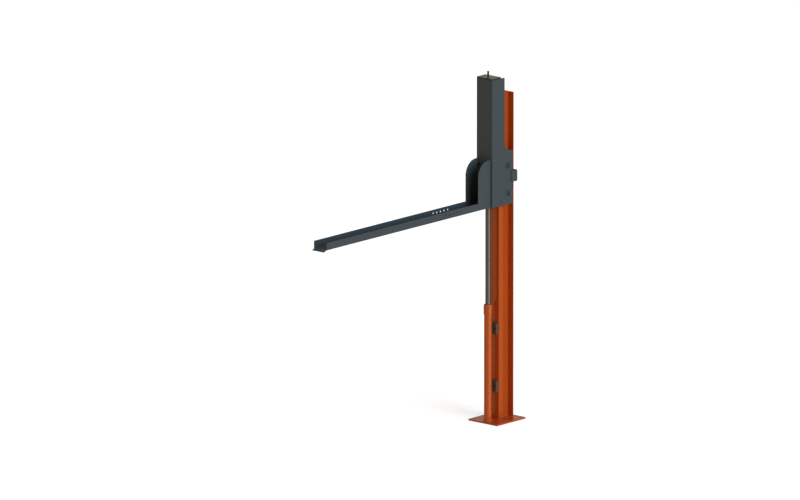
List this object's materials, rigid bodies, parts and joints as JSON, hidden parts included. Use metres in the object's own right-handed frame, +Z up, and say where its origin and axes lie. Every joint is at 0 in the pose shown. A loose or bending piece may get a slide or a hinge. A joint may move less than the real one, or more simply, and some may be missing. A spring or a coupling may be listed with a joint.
{
  "type": "two-level wheel parking lift",
  "caption": "Single-post parking lift: a hydraulic cylinder raises a carriage with a wheel channel, so that a second two-wheeler can be parked below.",
  "frame": {"origin": "on the floor, at the centre of the four anchor holes in the base plate", "axes": "+Z up along the post, -Y towards the entry end of the wheel channel, +X to the right seen from the entry end"},
  "size_m": [0.285, 2.1805, 2.679],
  "materials": {
    "orange_paint": "glossy orange enamel",
    "slate_paint": "satin slate grey powder coat",
    "bright_rod": "ground and hard chromed",
    "turned_steel": "turned",
    "dark_fastener": "blackened",
    "seal_rubber": "smooth",
    "pad_plastic": "moulded nylon"
  },
  "bodies": {
    "post": {"base_plate": "orange_paint", "post_column": "orange_paint", "cylinder_barrel": "orange_paint", "cylinder_foot": "orange_paint", "cylinder_gland": "orange_paint", "gland_seal": "seal_rubber", "gland_wiper": "seal_rubber", "oil_inlet": "orange_paint", "cylinder_bracket_lower": "slate_paint", "cylinder_bracket_upper": "slate_paint", "bracket_screws": "dark_fastener"},
    "cylinder_stage": {"stage_tube": "bright_rod", "stage_piston": "turned_steel", "stage_piston_ring": "seal_rubber", "stage_head": "bright_rod", "stage_head_seal": "seal_rubber"},
    "carriage": {"lift_rod": "bright_rod", "rod_foot": "turned_steel", "rod_nut": "dark_fastener", "rod_washer": "dark_fastener", "carriage_front_plate": "slate_paint", "carriage_side_left": "slate_paint", "carriage_side_right": "slate_paint", "carriage_top_cap": "slate_paint", "roller_axles": "turned_steel", "axle_circlips": "dark_fastener", "axle_collars": "slate_paint", "axle_nuts": "slate_paint", "guide_pads_lower": "pad_plastic", "guide_pads_upper": "pad_plastic", "guide_pad_screws": "dark_fastener", "rear_yoke": "slate_paint", "yoke_pad": "pad_plastic", "yoke_screws": "dark_fastener", "platform_channel": "slate_paint", "platform_upstand_left": "slate_paint", "platform_upstand_right": "slate_paint", "platform_back_plate": "slate_paint", "platform_bolts": "dark_fastener", "platform_washers": "dark_fastener", "platform_nuts": "dark_fastener"},
    "roller_upper_left": {"roller_upper_left": "turned_steel", "bearings_upper_left": "turned_steel"},
    "roller_upper_right": {"roller_upper_right": "turned_steel", "bearings_upper_right": "turned_steel"},
    "roller_lower_left": {"roller_lower_left": "turned_steel", "bearings_lower_left": "turned_steel"},
    "roller_lower_right": {"roller_lower_right": "turned_steel", "bearings_lower_right": "turned_steel"}
  },
  "joints": [
    {"name": "carriage_lift", "type": "slide", "parent": "post", "child": "carriage", "axis": [0, 0, 1], "range_m": [-1.633, 0]},
    {"name": "stage_extend", "type": "slide", "parent": "post", "child": "cylinder_stage", "axis": [0, 0, 1], "range_m": [-0.8165, 0]},
    {"name": "roller_upper_left_spin", "type": "hinge", "parent": "carriage", "child": "roller_upper_left", "pos_m": [-0.034, 0.038, 1.947], "axis": [1, 0, 0], "continuous": true},
    {"name": "roller_upper_right_spin", "type": "hinge", "parent": "carriage", "child": "roller_upper_right", "pos_m": [0.034, 0.038, 1.947], "axis": [1, 0, 0], "continuous": true},
    {"name": "roller_lower_left_spin", "type": "hinge", "parent": "carriage", "child": "roller_lower_left", "pos_m": [-0.034, 0.042, 1.735], "axis": [1, 0, 0], "continuous": true},
    {"name": "roller_lower_right_spin", "type": "hinge", "parent": "carriage", "child": "roller_lower_right", "pos_m": [0.034, 0.042, 1.735], "axis": [1, 0, 0], "continuous": true}
  ],
  "couplings": [
    {"joint": "stage_extend", "follows": "carriage_lift", "ratio": 0.5},
    {"joint": "roller_upper_left_spin", "follows": "carriage_lift", "rad_per_m": 13.333},
    {"joint": "roller_upper_right_spin", "follows": "carriage_lift", "rad_per_m": 13.333},
    {"joint": "roller_lower_left_spin", "follows": "carriage_lift", "rad_per_m": -13.333},
    {"joint": "roller_lower_right_spin", "follows": "carriage_lift", "rad_per_m": -13.333}
  ]
}
